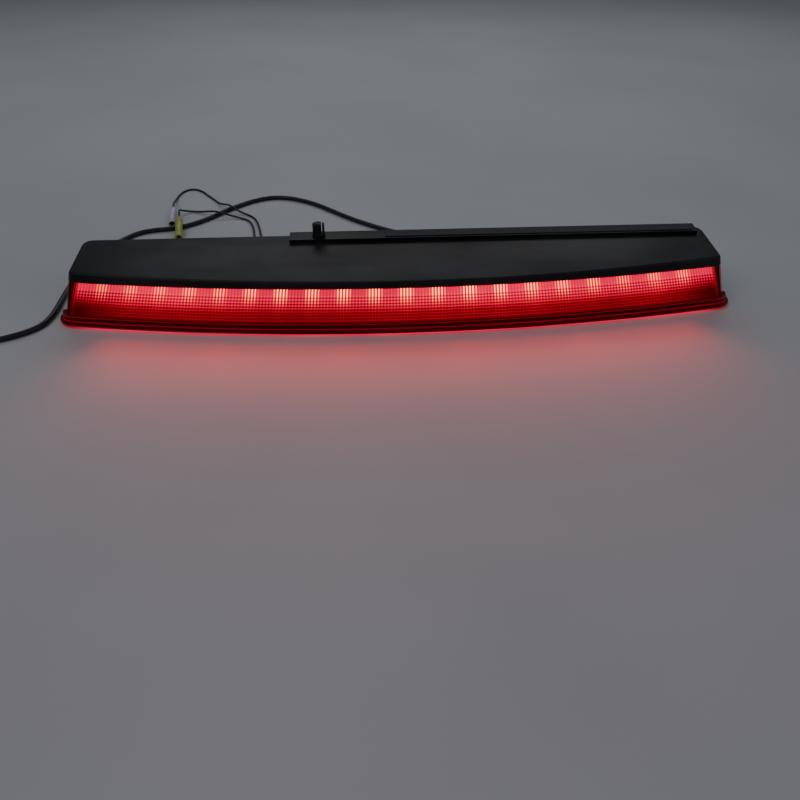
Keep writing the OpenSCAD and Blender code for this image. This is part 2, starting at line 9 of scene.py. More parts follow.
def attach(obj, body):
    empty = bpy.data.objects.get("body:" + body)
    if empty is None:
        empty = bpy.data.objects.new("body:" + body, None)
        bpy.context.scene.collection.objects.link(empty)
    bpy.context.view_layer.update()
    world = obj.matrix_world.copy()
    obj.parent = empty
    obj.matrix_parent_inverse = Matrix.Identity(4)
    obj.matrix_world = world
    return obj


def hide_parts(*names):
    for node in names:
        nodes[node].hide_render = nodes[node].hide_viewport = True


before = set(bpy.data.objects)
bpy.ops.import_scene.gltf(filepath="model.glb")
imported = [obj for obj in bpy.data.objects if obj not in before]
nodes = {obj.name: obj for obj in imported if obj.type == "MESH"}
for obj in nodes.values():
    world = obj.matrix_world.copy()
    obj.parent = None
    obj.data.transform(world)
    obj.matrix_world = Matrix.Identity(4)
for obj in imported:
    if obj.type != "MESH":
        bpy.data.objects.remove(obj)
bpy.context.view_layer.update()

MM = 0.001
TAU = 2 * math.pi

# The body's outline in plan, as in the CAD model, in millimetres
FRONT_R = 1400
FRONT_Y = -38
AXIS_Y = FRONT_Y + FRONT_R
HALF_LEN = 276.5
FRONT_CORNER_R = 11
LEAN = 0.145
END_LEAN = 0.31
WALL = 2.5

# Lights behind the optic
LED_PITCH = 24.5
LED_ROW_R = FRONT_R - 22.6
FLUTE_PITCH = LED_PITCH / 10
RIB_PITCH = 2.5


# ---------------------------------------------------------------- camera

CAMERA_AT = (-0.0375, -0.5493, 0.3067)
CAMERA_LOOK = (0.0534, 0.8047, -0.5912)
CAMERA_ROLL = math.radians(0.25)
CAMERA_LENS = 33.3


def make_camera():
    data = bpy.data.cameras.new("camera")
    data.sensor_width = 36
    data.lens = CAMERA_LENS
    data.clip_start = 0.01
    camera = bpy.data.objects.new("camera", data)
    bpy.context.scene.collection.objects.link(camera)
    camera.location = CAMERA_AT
    camera.rotation_mode = "QUATERNION"
    aim = Vector(CAMERA_LOOK).to_track_quat("-Z", "Y")
    camera.rotation_quaternion = aim @ Quaternion((0, 0, 1), CAMERA_ROLL)
    bpy.context.scene.camera = camera


# ---------------------------------------------------------------- shader helper


class Shader:
    """A material's node tree, with short calls for the nodes that the looks use."""

    def __init__(self, name):
        self.material = bpy.data.materials.new(name)
        self.material.use_nodes = True
        self.tree = self.material.node_tree
        self.tree.nodes.clear()
        self.output = self.tree.nodes.new("ShaderNodeOutputMaterial")
        self.where = self.tree.nodes.new("ShaderNodeTexCoord").outputs["Object"]

    def put(self, kind, settings=None, **inputs):
        node = self.tree.nodes.new("ShaderNode" + kind)
        for key, value in (settings or {}).items():
            setattr(node, key, value)
        for key, value in inputs.items():
            self.feed(node.inputs[key.replace("_", " ")], value)
        return node

    def feed(self, socket, value):
        if isinstance(value, bpy.types.NodeSocket):
            self.tree.links.new(value, socket)
        elif socket.type == "RGBA" and len(value) == 3:
            socket.default_value = (*value, 1)
        else:
            socket.default_value = value

    def maths(self, operation, a, b=0.0, c=0.0):
        node = self.put("Math", {"operation": operation})
        for socket, value in zip(node.inputs, (a, b, c)):
            self.feed(socket, value)
        return node.outputs[0]

    def add(self, a, b):
        return self.maths("ADD", a, b)

    def times(self, a, b):
        return self.maths("MULTIPLY", a, b)

    def axes(self):
        split = self.put("SeparateXYZ", Vector=self.where)
        return [split.outputs[i] for i in range(3)]

    def step(self, value, low, high, at_low=0.0, at_high=1.0):
        """Runs smoothly from at_low to at_high as value goes from low to high."""
        node = self.put("MapRange", {"interpolation_type": "SMOOTHSTEP"}, Value=value)
        for i, number in enumerate((low, high, at_low, at_high), 1):
            node.inputs[i].default_value = number
        return node.outputs[0]

    def noise(self, scale, detail=2.0, roughness=0.5, where=None):
        node = self.put("TexNoise", Scale=scale, Detail=detail, Roughness=roughness)
        self.feed(node.inputs["Vector"], where or self.where)
        return node.outputs["Fac"]

    def stretched(self, x, y, z):
        node = self.put("Mapping", Scale=(x, y, z))
        self.feed(node.inputs["Vector"], self.where)
        return node.outputs[0]

    def cells(self, scale, feature="F1"):
        node = self.put("TexVoronoi", {"feature": feature}, Scale=scale)
        self.feed(node.inputs["Vector"], self.where)
        return node.outputs["Distance"]

    def mix(self, share, a, b):
        node = self.put("Mix", {"data_type": "RGBA"})
        for index, value in ((0, share), (6, a), (7, b)):
            self.feed(node.inputs[index], value)
        return node.outputs[2]

    def scaled(self, colour, amount):
        node = self.put("VectorMath", {"operation": "SCALE"}, Scale=amount)
        self.feed(node.inputs[0], colour)
        return node.outputs[0]

    def bump(self, height, distance, strength=1.0):
        return self.put("Bump", Height=height, Distance=distance, Strength=strength).outputs[0]

    def principled(self, **inputs):
        return self.put("BsdfPrincipled", **inputs).outputs[0]

    def finish(self, surface):
        self.feed(self.output.inputs["Surface"], surface)
        return self.material


# ---------------------------------------------------------------- materials


def moulded_plastic(name, tone, grain=2600, roughness=0.46):
    """Black moulded plastic with a fine spark-eroded texture and a thin film of dust."""
    s = Shader(name)
    fine = s.noise(grain, 3, 0.6)
    broad = s.noise(26, 3)
    smears = s.noise(9, 4, 0.65, s.stretched(0.4, 1.5, 1))
    colour = s.mix(s.step(broad, 0.35, 0.7), tone, [min(1, c * 1.7 + 0.004) for c in tone])
    specks = s.step(s.noise(900, 1), 0.72, 0.78, 0.0, 0.35)
    colour = s.mix(specks, colour, (0.10, 0.10, 0.11))
    rough = s.step(smears, 0.3, 0.75, roughness - 0.07, roughness + 0.1)
    return s.finish(s.principled(
        Base_Color=colour, Roughness=rough, Specular_IOR_Level=0.24, Normal=s.bump(fine, 0.00006, 0.5)))


def rubber(name, tone):
    s = Shader(name)
    colour = s.mix(s.step(s.noise(40, 4, 0.6), 0.3, 0.75), tone, [c * 1.9 + 0.003 for c in tone])
    grain = s.noise(1800, 2)
    rough = s.step(s.noise(60, 2), 0.3, 0.7, 0.62, 0.8)
    return s.finish(s.principled(Base_Color=colour, Roughness=rough, Normal=s.bump(grain, 0.00004, 0.5)))


def foam(name):
    s = Shader(name)
    pores = s.cells(1400)
    # The pores' hollows are painted darker than their rims: painted shade in the pits.
    colour = s.mix(s.step(pores, 0.15, 0.6), (0.018, 0.018, 0.02), (0.075, 0.075, 0.082))
    return s.finish(s.principled(
        Base_Color=colour, Roughness=0.92, Normal=s.bump(pores, 0.0003, 0.7)))


def zinc_steel(name):
    s = Shader(name)
    patches = s.noise(240, 4, 0.6)
    colour = s.mix(s.step(patches, 0.35, 0.65), (0.60, 0.60, 0.58), (0.50, 0.52, 0.56))
    colour = s.mix(s.step(s.noise(90, 2), 0.6, 0.8, 0.0, 0.5), colour, (0.56, 0.50, 0.38))
    rough = s.step(patches, 0.3, 0.7, 0.26, 0.42)
    return s.finish(s.principled(
        Base_Color=colour, Metallic=1.0, Roughness=rough, Normal=s.bump(s.noise(1500, 2), 0.00003, 0.4)))


def brass(name):
    s = Shader(name)
    patches = s.noise(300, 4, 0.6)
    colour = s.mix(s.step(patches, 0.35, 0.7), (0.72, 0.50, 0.20), (0.52, 0.34, 0.14))
    rough = s.step(patches, 0.3, 0.7, 0.24, 0.42)
    return s.finish(s.principled(
        Base_Color=colour, Metallic=1.0, Roughness=rough, Normal=s.bump(s.noise(2400, 2), 0.00002, 0.4)))


def tinned_copper(name):
    s = Shader(name)
    patches = s.noise(700, 3)
    colour = s.mix(s.step(patches, 0.4, 0.6), (0.70, 0.68, 0.64), (0.62, 0.42, 0.26))
    rough = s.step(patches, 0.3, 0.7, 0.3, 0.5)
    return s.finish(s.principled(Base_Color=colour, Metallic=1.0, Roughness=rough))


def metallised(name):
    """Vacuum-metallised plastic: bright, with a faint orange peel."""
    s = Shader(name)
    peel = s.noise(420, 2)
    colour = s.mix(s.step(s.noise(30, 2), 0.3, 0.7), (0.86, 0.86, 0.88), (0.76, 0.77, 0.80))
    return s.finish(s.principled(
        Base_Color=colour, Metallic=1.0, Roughness=s.step(peel, 0.3, 0.7, 0.12, 0.22),
        Normal=s.bump(peel, 0.00005, 0.3)))


def circuit_board(name):
    """White solder mask with faint tracks under it."""
    s = Shader(name)
    x, y, z = s.axes()
    tracks = s.maths("PINGPONG", s.add(s.times(x, 260), s.times(z, 900)), 1.0)
    colour = s.mix(s.step(tracks, 0.44, 0.5), (0.80, 0.80, 0.76), (0.70, 0.72, 0.67))
    specks = s.step(s.noise(1200, 1), 0.66, 0.7, 0.0, 0.3)
    colour = s.mix(specks, colour, (0.55, 0.54, 0.48))
    return s.finish(s.principled(
        Base_Color=colour, Roughness=s.step(s.noise(300, 2), 0.3, 0.7, 0.28, 0.4),
        Normal=s.bump(tracks, 0.00003, 0.4)))


def led_epoxy(name):
    s = Shader(name)
    glow = s.mix(s.step(s.noise(500, 2), 0.3, 0.7), (1.0, 0.72, 0.36), (1.0, 0.55, 0.22))
    return s.finish(s.principled(
        Base_Color=(0.95, 0.85, 0.65), Roughness=0.12, Emission_Color=glow, Emission_Strength=9.0))


def chip(name):
    s = Shader(name)
    colour = s.mix(s.step(s.noise(900, 2), 0.4, 0.6), (0.02, 0.02, 0.022), (0.05, 0.05, 0.055))
    return s.finish(s.principled(
        Base_Color=colour, Roughness=s.step(s.noise(600, 2), 0.3, 0.7, 0.3, 0.5)))


def jacket(name, tone, roughness, streaks=(200, 200, 200)):
    """PVC cable jacket: smooth, with drawn-out streaks and small scuffs."""
    s = Shader(name)
    drawn = s.noise(5, 3, 0.55, s.stretched(*streaks))
    colour = s.mix(s.step(drawn, 0.3, 0.7), tone, [min(1, c * 1.6 + 0.006) for c in tone])
    scuffs = s.step(s.noise(700, 3, 0.7), 0.64, 0.72, 0.0, 0.5)
    colour = s.mix(scuffs, colour, [min(1, c * 2 + 0.03) for c in tone])
    rough = s.step(drawn, 0.3, 0.7, roughness, roughness + 0.16)
    return s.finish(s.principled(
        Base_Color=colour, Roughness=rough, Normal=s.bump(s.noise(1300, 2), 0.00004, 0.4)))


def soft_sleeve(name, light, dark):
    """Soft, slightly milky PVC with fine mould marks and finger grease."""
    s = Shader(name)
    cloud = s.noise(160, 3, 0.6)
    colour = s.mix(s.step(cloud, 0.3, 0.72), light, dark)
    rough = s.step(s.noise(90, 3), 0.3, 0.7, 0.28, 0.46)
    return s.finish(s.principled(
        Base_Color=colour, Roughness=rough, Subsurface_Weight=0.25, Subsurface_Radius=(0.002, 0.0016, 0.0014),
        Normal=s.bump(s.noise(1100, 2), 0.00005, 0.4)))


def lens_clear(name, through=(1.0, 0.60, 0.62)):
    """Red transparent plastic: what is behind shows through its tint, its skin is glossy, and a painted red
    glow lies on it where it is seen edge-on.
    """
    s = Shader(name)
    haze = s.noise(55, 3, 0.6)
    tint = s.mix(s.step(haze, 0.3, 0.7), through, [c * 0.93 for c in through])
    clear = s.put("BsdfTransparent", Color=tint).outputs[0]
    # Painted glow: the skin gives off red light where it is seen edge-on, more as it turns away.
    grazing = s.maths("POWER", s.put("LayerWeight", Blend=0.5).outputs["Facing"], 4.0)
    skin = s.principled(
        Base_Color=(0.16, 0.002, 0.004), Roughness=0.07, Coat_Weight=0.3,
        Emission_Color=(1.0, 0.0, 0.02), Emission_Strength=s.times(grazing, 0.25),
        Normal=s.bump(s.noise(38, 2), 0.0004, 0.10))
    both = s.put("MixShader")
    s.feed(both.inputs[0], s.maths("MULTIPLY_ADD", grazing, 0.6, 0.04))
    s.feed(both.inputs[1], clear)
    s.feed(both.inputs[2], skin)
    return s.finish(both.outputs[0])


# Where the glow of a lit edge fades: metres from the lamp's middle, and metres above the floor
EDGE_ENDS = (0.240, 0.278)
EDGE_FOOT = (0.008, 0.030)


def lens_edge(name, glow, strength, at_ends=1.0, at_foot=1.0):
    """Edge of the red plastic, lit from inside, with small streaks; it can fade at the ends or foot. It also
    draws the thin painted glints on the lens's step edges.
    """
    s = Shader(name)
    x, _, z = s.axes()
    endways = s.step(s.maths("ABSOLUTE", x), *EDGE_ENDS, 1.0, at_ends)
    kept = s.times(endways, s.step(z, *EDGE_FOOT, at_foot, 1.0))
    streaks = s.noise(3, 4, 0.6, s.stretched(6, 6, 300))
    colour = s.mix(s.step(streaks, 0.3, 0.7), glow, [c * 0.6 for c in glow])
    return s.finish(s.principled(
        Base_Color=(0.10, 0.001, 0.003), Roughness=0.14, Specular_IOR_Level=0.2, Emission_Color=colour,
        Emission_Strength=s.times(kept, strength)))


# ---------------------------------------------------------------- optic's light

# Depth of colour down the optic: height in mm, and the glow there
GLOW_LEVELS = [
    (5.5, 0.048),
    (9.0, 0.052),
    (13.0, 0.055),
    (16.0, 0.088),
    (18.5, 0.155),
    (20.5, 0.200),
    (23.0, 0.245),
    (26.5, 0.285),
    (28.5, 0.155),
    (35.5, 0.155),
]
GLOW_AT_FOOT = (1.0, 0.0, 0.085)
GLOW_AT_TOP = (1.0, 0.0, 0.15)
GLOW_STRENGTH = 10.0
HOT_COLOUR = (0.80, 0.50, 0.03)
# The hue changes from foot to top between these heights
HUE_EDGE = (14, 28)
# The plain band before the lights fades in between these heights, above the ribbed grid
BAND_EDGE = (26.5, 28.5)
# How sharp the crests look, as a power of their wave: flutes, ribs and the streaks of a hot patch
FLUTE_SHARP = 1.5
RIB_SHARP = 1.3
STREAK_SHARP = 3.6
# How much darker the hollows are: of the flutes in the grid and in the band, and of the ribs
FLUTE_DARK = (0.22, 0.30)
RIB_DARK = 0.68
# The flutes' hollows are darker still from the grid's middle up, and towards the lamp's ends
UPPER_GRID = (15.0, 22.0)
UPPER_DARKER = 0.32
OUTER_GRID = (150, 240)
OUTER_DARKER = 0.12
# The glow fades towards the lower corners: distances from the lamp's middle, heights, and the fade at each
CORNER_OUT = (205, 262)
CORNER_UP = (12, 32)
CORNER_FADE = (0.88, 0.1)
# Slow unevenness of the glow, and of one light against the next
CLOUDS = (0.85, 1.12)
LAMPS = (0.75, 1.1)
# The lights show through the flutes a little to one side, as seen from left of the middle: mm, and per mm
LIGHT_SHIFT = 10.8
LIGHT_SHIFT_FALL = -0.000135
# Half the length of the row of lights, where its last hot patch fades out
LIGHTS_END = (238, 246)
# Half a hot patch's width, where it fades out, and the heights between which it fades in
PATCH_EDGE = (2.2, 7.4)
PATCH_FOOT = (18.5, 29)
# How bright a patch is at the lamp's ends against the middle, and where it changes
PATCH_OUT = (20, 210)
PATCH_AT_ENDS = 0.36
# How much of a patch stays between the ribs
PATCH_ON_RIBS = 0.3
# The red tail of a hot patch: its strength, and how fast it fades with each millimetre below its top
TAIL_LEVEL = 0.16
TAIL_FALL = 0.13
TAIL_TOP = 28.0


def optic_lit():
    """Red glow of the fluted optic, with a hot patch before each light and a grid of ribs below."""
    s = Shader("optic_lit")
    x, y, z = s.axes()
    z_mm = s.times(z, 1000)
    angle = s.maths("ARCTAN2", x, s.maths("SUBTRACT", AXIS_Y * MM, y))
    flare = GRID_FLARE / HALF_GRID
    spread = s.maths("MULTIPLY_ADD", z_mm, -flare, 1 + flare * OPTIC_HIGH)
    along = s.maths("DIVIDE", s.times(angle, LED_ROW_R), spread)
    outward = s.maths("ABSOLUTE", along)
    rib = wave(s, z_mm, RIB_PITCH, RIB_SHARP)
    band = s.step(z_mm, *BAND_EDGE)

    grid = grid_light(s, along, outward, z_mm, rib, band)
    level = s.times(s.times(level_by_height(s, z_mm), grid), clouds(s, outward, z_mm))
    patches = light_patches(s, along, outward)
    rows = s.maths("MAXIMUM", band, s.maths("MULTIPLY_ADD", rib, 1 - PATCH_ON_RIBS, PATCH_ON_RIBS))
    hot = s.times(patches, s.times(s.step(z_mm, *PATCH_FOOT), rows))
    under = s.maths("MINIMUM", s.add(z_mm, -TAIL_TOP), 0.0)
    tail = s.maths("EXPONENT", s.times(under, TAIL_FALL))
    warm = s.times(s.times(patches, TAIL_LEVEL), s.times(tail, rows))

    hue = s.mix(s.step(z_mm, *HUE_EDGE), GLOW_AT_FOOT, GLOW_AT_TOP)
    total = s.put("VectorMath", {"operation": "ADD"})
    s.feed(total.inputs[0], s.scaled(hue, s.add(level, warm)))
    s.feed(total.inputs[1], s.scaled(HOT_COLOUR, hot))
    return s.finish(s.principled(
        Base_Color=(0.10, 0.002, 0.004), Roughness=0.4, Emission_Color=total.outputs[0],
        Emission_Strength=GLOW_STRENGTH))


def level_by_height(s, z_mm):
    """The glow's level at each height, as in GLOW_LEVELS."""
    low, high = GLOW_LEVELS[0][0], GLOW_LEVELS[-1][0]
    ramp = s.put("ValToRGB")
    s.feed(ramp.inputs[0], s.maths("DIVIDE", s.add(z_mm, -low), high - low))
    stops = ramp.color_ramp.elements
    for i, (height, level) in enumerate(GLOW_LEVELS):
        stop = stops[i] if i < 2 else stops.new(1.0)
        stop.position = (height - low) / (high - low)
        stop.color = (level, level, level, 1)
    return ramp.outputs[0]


def grid_light(s, along, outward, z_mm, rib, band):
    """Light of the crests against the hollows: upright flutes all the way up, and ribs below the band."""
    flute = wave(s, along, FLUTE_PITCH, FLUTE_SHARP)
    below = s.maths("SUBTRACT", 1.0, band)
    upper = s.times(s.step(z_mm, *UPPER_GRID), below)
    outer = s.times(s.step(outward, *OUTER_GRID), below)
    darker = s.add(s.times(upper, UPPER_DARKER), s.times(outer, OUTER_DARKER))
    flute_dark = s.add(s.step(z_mm, *BAND_EDGE, *FLUTE_DARK), darker)
    rib_dark = s.times(below, RIB_DARK)
    return s.times(dimmed(s, flute, flute_dark), dimmed(s, rib, rib_dark))


def clouds(s, outward, z_mm):
    """Slow unevenness of the glow, which is also dimmer in the lower corners."""
    corner = s.times(s.step(outward, *CORNER_OUT), s.step(z_mm, *CORNER_UP, *CORNER_FADE))
    cloud = s.step(s.noise(14, 2), 0.3, 0.7, *CLOUDS)
    return s.times(cloud, s.maths("SUBTRACT", 1.0, corner))


def light_patches(s, along, outward):
    """One fluted patch before each light, brighter near the middle of the lamp."""
    seen = s.add(along, s.add(s.times(s.times(along, along), LIGHT_SHIFT_FALL), LIGHT_SHIFT))
    nearest = s.maths("ABSOLUTE", s.add(s.maths("FRACT", s.maths("DIVIDE", seen, LED_PITCH)), -0.5))
    patch = s.step(s.times(nearest, LED_PITCH), *PATCH_EDGE, 1.0, 0.0)
    patch = s.times(patch, s.step(outward, *LIGHTS_END, 1.0, 0.0))
    middle_light = s.step(outward, *PATCH_OUT, 1.0, PATCH_AT_ENDS)
    lamp = s.step(s.noise(1, 0, 0.5, s.stretched(24, 0.01, 0.01)), 0.25, 0.75, *LAMPS)
    streaks = wave(s, along, FLUTE_PITCH, STREAK_SHARP)
    return s.times(s.times(patch, streaks), s.times(middle_light, lamp))


def wave(s, value, pitch, sharpness):
    """Ridges of the given pitch, 1 on each crest and 0 between."""
    turn = s.maths("COSINE", s.times(value, TAU / pitch))
    return s.maths("POWER", s.maths("MULTIPLY_ADD", turn, 0.5, 0.5), sharpness)


def dimmed(s, ridges, depth):
    """1 on each ridge, less depth between them."""
    return s.maths("SUBTRACT", 1.0, s.times(depth, s.maths("SUBTRACT", 1.0, ridges)))


# ---------------------------------------------------------------- cords

WIRE_D = 2.0
LEAD_D = 4.4
WIRE_A = [
    (-119.5, 48, 20), (-119.5, 54, 19), (-120, 64, 14), (-121.5, 76, 7), (-123, 90, 2.5), (-124.5, 106, 1.2),
    (-127, 124, 1.2), (-129.5, 142, 1.2), (-132, 158, 1.2), (-135, 174, 1.2), (-139, 190, 1.2),
    (-145, 202, 1.2), (-153, 209, 1.8), (-161, 214, 3.8), (-169, 221, 6.2), (-177, 230, 4.4),
    (-183, 239, 2), (-190, 251, 1.2), (-200, 266, 1.2), (-209, 279, 1.2), (-219, 285, 1.2),
    (-227, 280, 1.2), (-231, 268, 1.2), (-232, 252, 2), (-231, 239, 4.6),
    (-229.8, 227.5, 6.6), (-228.4, 217.6, 6.0), (-226.7, 205.2, 5.4),
]
WIRE_B = [
    (-124.5, 48, 20), (-124.5, 54, 19), (-125, 64, 14), (-126.5, 76, 7), (-128.5, 90, 2.5), (-131, 106, 1.2),
    (-134, 124, 1.2), (-136.5, 142, 1.2), (-138.5, 159, 1.2), (-142, 178, 1.2), (-148, 192, 1.2),
    (-158, 199, 1.6), (-167, 201, 3.4), (-175, 202, 5.6), (-182, 205, 6.2), (-190, 210, 4.6),
    (-198, 215, 2.4), (-206, 218, 1.5), (-213, 218, 2.2), (-218, 213, 5), (-219, 204, 9),
    (-217.05, 192.6, 11.0), (-215.7, 182.8, 9.5), (-213.95, 170.6, 7.7),
]
LEAD = [
    (82, 66, 14), (81, 76, 11.5), (76, 88, 6.5), (66, 100, 3), (52, 113, 2.3), (37, 126, 2.3),
    (20, 139, 2.3), (2, 152, 2.3), (-15, 165, 2.3), (-31, 179, 2.3), (-47, 195, 2.3), (-62, 212, 2.3),
    (-77, 228, 2.3), (-93, 241, 2.3), (-111, 250, 2.3), (-129, 251, 2.3), (-146, 243, 2.3),
    (-161, 230, 2.3), (-174, 216, 2.3), (-185, 201, 2.3), (-197, 188, 2.3), (-210, 178, 2.3),
    (-224, 172, 2.3), (-239, 169, 2.3), (-252, 163, 2.3), (-263, 150, 2.3), (-272, 133, 2.3),
    (-279, 114, 2.3), (-284, 94, 2.3), (-287, 73, 2.3), (-288, 52, 2.3), (-288, 30, 2.3),
    (-287.5, 10, 2.3), (-288.5, -7, 2.3), (-292, -18, 2.3), (-299.5, -26.5, 2.3), (-310, -33.5, 2.3),
    (-323, -39.5, 2.5), (-336, -46, 3.8), (-348, -51, 5.2),
]


def metres(point):
    return Vector(point) * MM


def make_cord(name, route, diameter, material, slot, **facts):
    """A free cord along the CAD route, which replaces the CAD tube of the same name."""
    curve = bpy.data.curves.new(name, "CURVE")
    curve.dimensions = "3D"
    curve.bevel_depth = diameter * MM / 2
    curve.bevel_resolution = 5
    curve.resolution_u = 10
    curve.use_fill_caps = True
    spline = curve.splines.new("BEZIER")
    spline.bezier_points.add(len(route) - 1)
    for knot, point in zip(spline.bezier_points, route):
        knot.co = metres(point)
        knot.handle_left_type = "AUTO"
        knot.handle_right_type = "AUTO"
    curve.materials.append(material)
    piece = bpy.data.objects.new(name + "_cord", curve)
    bpy.context.scene.collection.objects.link(piece)
    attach(piece, "lamp")
    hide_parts(name)


# ---------------------------------------------------------------- mesh helpers


def new_piece(name, vertices, faces, body, materials, smooth=True):
    mesh = bpy.data.meshes.new(name)
    mesh.from_pydata([metres(v) for v in vertices], [], faces)
    mesh.update()
    for material in materials:
        mesh.materials.append(material)
    for face in mesh.polygons:
        face.use_smooth = smooth
    piece = bpy.data.objects.new(name, mesh)
    bpy.context.scene.collection.objects.link(piece)
    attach(piece, body)
    return piece


def grid_faces(rows, columns, close_rows=False, close_columns=False):
    """Quads between neighbouring points of a grid that is stored row by row."""
    found = []
    for r in range(rows if close_rows else rows - 1):
        for c in range(columns if close_columns else columns - 1):
            r2, c2 = (r + 1) % rows, (c + 1) % columns
            found.append((r * columns + c, r * columns + c2, r2 * columns + c2, r2 * columns + c))
    return found


def turn_outward(piece):
    work = bmesh.new()
    work.from_mesh(piece.data)
    bmesh.ops.recalc_face_normals(work, faces=work.faces)
    work.to_mesh(piece.data)
    work.free()


def soften(piece, width, segments=2, angle=35, weld=0.0):
    """Rounds a piece's sharp edges, without touching its own mesh."""
    if weld:
        joined = piece.modifiers.new("weld", "WELD")
        joined.merge_threshold = weld
    bevel = piece.modifiers.new("bevel", "BEVEL")
    bevel.width = width * MM
    bevel.segments = segments
    bevel.limit_method = "ANGLE"
    bevel.angle_limit = math.radians(angle)
    bevel.use_clamp_overlap = True
    bevel.harden_normals = False


def turned(name, body, at, axis, rings, materials, sides=32, loop=False):
    """Turned piece. Each ring has a distance along the axis and a radius, or its function of the angle."""
    axis = Vector(axis).normalized()
    side = axis.cross(Vector((0, 0, 1))).normalized()
    up = side.cross(axis)
    start = Vector(at)
    vertices = []
    for along, radius in rings:
        for i in range(sides):
            a = TAU * i / sides
            r = radius(a) if callable(radius) else radius
            vertices.append(start + axis * along + r * (math.cos(a) * side + math.sin(a) * up))
    faces = grid_faces(len(rings), sides, close_rows=loop, close_columns=True)
    if not loop:
        faces.append(tuple(reversed(range(sides))))
        faces.append(tuple(len(vertices) - sides + i for i in range(sides)))
    piece = new_piece(name, vertices, faces, body, materials)
    turn_outward(piece)
    return piece


def sharp_by_angle(piece, angle=35):
    """Marks edges sharper than the angle, so that smooth shading breaks there."""
    work = bmesh.new()
    work.from_mesh(piece.data)
    for edge in work.edges:
        edge.smooth = len(edge.link_faces) == 2 and edge.calc_face_angle(0) < math.radians(angle)
    work.to_mesh(piece.data)
    work.free()


# ---------------------------------------------------------------- studs and sleeves

REAR_Y = 45
STUD_X = 200
STUD_Z = 22
STUD_R = 2.5
STUD_LEN = 14
STUD_SHOULDER_R = 3.0
STUD_HEAD_R = 4.6
STUD_HEAD_Y = 34.0
STUD_SEAT_Y = 37.5
WASHER_T = 2
THREAD_PITCH = 0.8
THREAD_DEPTH = 0.45
THREAD_RINGS = 8
THREAD_STARTS = 0.85
THREAD_SPARE = 0.9
CHAMFER = 0.9


def hexagon(radius):
    """Radius of a hexagon's edge as a function of the angle."""
    return lambda a: radius * math.cos(math.pi / 6) / math.cos((a % (math.pi / 3)) - math.pi / 6)


def thread(along, top):
    """Radius of a screw thread as a function of the angle, a distance along it."""
    def radius(a):
        phase = (along / THREAD_PITCH - a / TAU) % 1.0
        ridge = 1 - abs(2 * phase - 1)
        return min(top, STUD_R - THREAD_DEPTH * (1 - min(1, 1.25 * ridge)))
    return radius


def make_stud(name, x, steel):
    """Stud with a hexagon head inside, a plain shoulder and a cut thread with a chamfered end."""
    y0 = REAR_Y + WASHER_T
    y1 = REAR_Y + STUD_LEN
    rings = [
        (STUD_HEAD_Y, hexagon(STUD_HEAD_R - 0.4)), (STUD_HEAD_Y + 0.4, hexagon(STUD_HEAD_R)),
        (STUD_SEAT_Y - 0.2, hexagon(STUD_HEAD_R)), (STUD_SEAT_Y, hexagon(STUD_HEAD_R - 0.2)),
        (STUD_SEAT_Y, STUD_SHOULDER_R), (y0 - 0.25, STUD_SHOULDER_R), (y0, STUD_SHOULDER_R - 0.25),
        (y0 + 0.02, STUD_R - THREAD_DEPTH), (y0 + 0.8, STUD_R - THREAD_DEPTH),
    ]
    cut = y1 - y0 - THREAD_SPARE
    count = int(cut / THREAD_PITCH * THREAD_RINGS)
    for i in range(count + 1):
        y = y0 + THREAD_STARTS + cut * i / count
        rings.append((y, thread(y, STUD_R - max(0, y - (y1 - CHAMFER)))))
    rings.append((y1, STUD_R - 1.0))
    piece = turned(name + "_turned", "lamp", (x, 0, STUD_Z), (0, 1, 0), rings, [steel], sides=36)
    sharp_by_angle(piece, 30)
    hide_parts(name)


SLEEVE_TIPS = {"sleeve_a": (-223, 179, 4), "sleeve_b": (-210.3, 144.6, 3.9)}
SLEEVE_AIMS = {"sleeve_a": (-8, 3), "sleeve_b": (-8, 8.3)}
# Outside and then inside of a soft sleeve, from the mouth to the wire: distance from the mouth and radius
SLEEVE_PROFILE = [
    (0.0, 3.3), (0.25, 3.65), (0.7, 3.8), (1.6, 3.8), (2.1, 3.6), (2.8, 3.45), (9, 3.42), (17, 3.5),
    (24, 3.62), (28.2, 3.7), (28.5, 3.8), (29.3, 3.8), (29.6, 3.5), (30.4, 3.45), (30.7, 3.7),
    (31.5, 3.68), (31.8, 3.3), (32.6, 3.25), (32.9, 3.5), (33.7, 3.45), (34.1, 3.1), (36.0, 2.75),
    (37.5, 2.3), (38.0, 1.95), (38.0, 1.32), (36.6, 1.27), (35.6, 1.35), (34.9, 2.1), (34.2, 2.6),
    (30, 2.7), (12, 2.7), (1.2, 2.72), (0.3, 2.9), (0.0, 3.1),
]


def make_sleeve(name, material):
    """Soft insulating sleeve with a rolled mouth, a slight waist and grip rings by the wire."""
    heading, rise = (math.radians(a) for a in SLEEVE_AIMS[name])
    aim = (math.cos(rise) * math.sin(heading), math.cos(rise) * math.cos(heading), math.sin(rise))
    piece = turned(name + "_soft", name, SLEEVE_TIPS[name], aim, SLEEVE_PROFILE, [material], loop=True)
    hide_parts(name)
    return piece


# ---------------------------------------------------------------- lens cover

SPLIT_Y = -0.5
LENS_TOP = 34.5
FLANGE_W = 7
FLANGE_END_W = 3.5
FLANGE_H = 3
STEP_W = 1.2
STEP_TOP = 7.5
# What each stretch of the lens's profile shows: clear wall, bright rim, dark edge or a thin painted glint
CLEAR, BRIGHT, DARK, GLINT_LINE = range(4)


